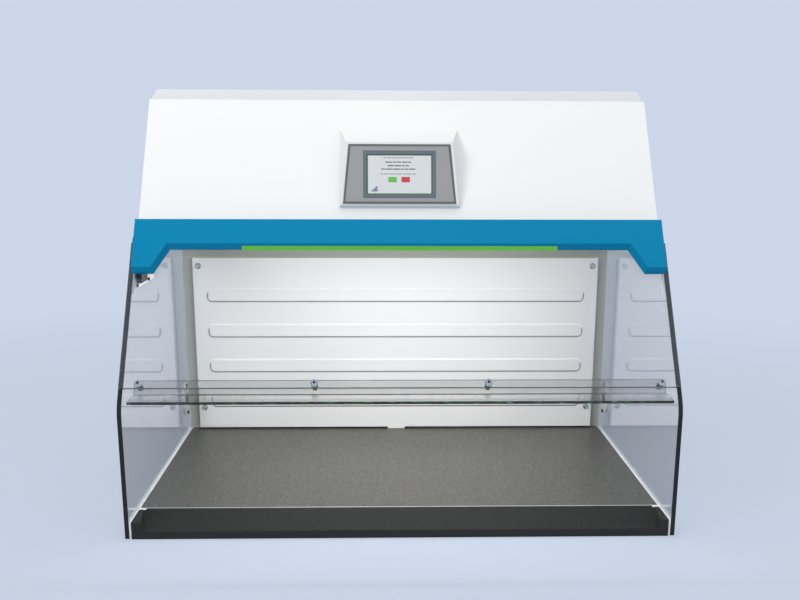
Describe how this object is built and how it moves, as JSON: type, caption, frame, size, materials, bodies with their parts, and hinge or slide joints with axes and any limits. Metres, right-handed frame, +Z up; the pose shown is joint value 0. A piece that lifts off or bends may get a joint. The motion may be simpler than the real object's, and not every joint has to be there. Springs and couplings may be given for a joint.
{
  "type": "powder containment cabinet",
  "caption": "Bench-top powder containment cabinet: clear sides, sloped hinged visor with blue fascia, filtered fan head with touch screen, and a low sill before a dark worktop.",
  "frame": {"origin": "on the bench under the middle of the base, halfway between the sill's front and the back", "axes": "+X to the user's right, +Y away from the user towards the back, +Z up"},
  "size_m": [1, 0.7025, 0.7965],
  "materials": {
    "white_paint": "satin powder coat",
    "dark_sill": "fine matt grain",
    "worktop": "speckled hard laminate",
    "clear_sheet": "clear polished acrylic",
    "port_plate": "satin",
    "rubber": "matt",
    "gasket": "closed foam",
    "dark_screw": "satin black",
    "steel": "satin",
    "chrome_screw": "polished",
    "bar_metal": "anodised",
    "zinc_sheet": "zinc coated",
    "motor_metal": "cast",
    "fan_plastic": "moulded",
    "filter_media": "pleated paper",
    "filter_frame": "plain board",
    "control_plastic": "fine grain",
    "lamp_lens": "frosted",
    "dark_plastic": "fine grain",
    "pod_shell": "satin",
    "bezel": "satin grey",
    "surround": "satin",
    "screen": "glossy",
    "board": "circuit board",
    "blue_fascia": "satin blue",
    "green_light": "lit strip"
  },
  "bodies": {
    "cabinet": {"base_pan": "white_paint", "front_sill": "dark_sill", "base_rail_left": "white_paint", "base_rail_right": "white_paint", "worktop": "worktop", "side_panel_left": "clear_sheet", "port_plate_left": "port_plate", "port_grommet_left": "rubber", "side_panel_right": "clear_sheet", "port_plate_right": "port_plate", "port_grommet_right": "rubber", "port_screws": "dark_screw", "rear_wall": "white_paint", "rear_frame": "white_paint", "rear_baffle": "white_paint", "baffle_spacers": "steel", "baffle_screws": "steel", "head_floor": "white_paint", "head_header": "white_paint", "head_front_cover": "white_paint", "head_side_left": "white_paint", "head_side_right": "white_paint", "head_back": "white_paint", "head_top_cover": "white_paint", "exhaust_grille": "white_paint", "prefilter": "filter_media", "filter_gasket": "gasket", "filter_frame": "filter_frame", "filter_pleats": "filter_media", "fan_deck": "zinc_sheet", "fan_inlet_ring": "zinc_sheet", "fan_motor": "motor_metal", "motor_bridge": "zinc_sheet", "control_box": "control_plastic", "control_lid": "control_plastic", "lamp_body": "white_paint", "lamp_lens": "lamp_lens", "switch_plate": "white_paint", "visor_switch": "dark_plastic", "switch_screws": "dark_screw", "display_pod": "pod_shell", "display_bezel": "bezel", "screen_surround": "surround", "touch_screen": "screen", "display_board": "board", "power_inlet": "dark_plastic", "hinge_fixed_leaf": "steel", "hinge_pin": "steel", "visor_seal": "rubber"},
    "hood": {"visor": "clear_sheet", "visor_lip": "clear_sheet", "lip_screws": "chrome_screw", "lip_nuts": "chrome_screw", "fascia": "blue_fascia", "status_light": "green_light", "visor_bar": "bar_metal", "visor_screws": "steel", "hinge_moving_leaf": "steel"},
    "fan_rotor": {"fan_wheel": "fan_plastic"},
    "mains_switch": {"mains_rocker": "dark_plastic"}
  },
  "joints": [
    {"name": "hood_hinge", "type": "hinge", "parent": "cabinet", "child": "hood", "pos_m": [0, -0.12021, 0.5419], "axis": [-1, 0, 0], "range_deg": [0, 70]},
    {"name": "fan_spin", "type": "hinge", "parent": "cabinet", "child": "fan_rotor", "pos_m": [0, 0.158, 0.665], "axis": [0, 0, 1], "continuous": true},
    {"name": "mains_rocking", "type": "hinge", "parent": "cabinet", "child": "mains_switch", "pos_m": [-0.38, 0.332, 0.6695], "axis": [1, 0, 0], "range_deg": [-8, 8]}
  ]
}
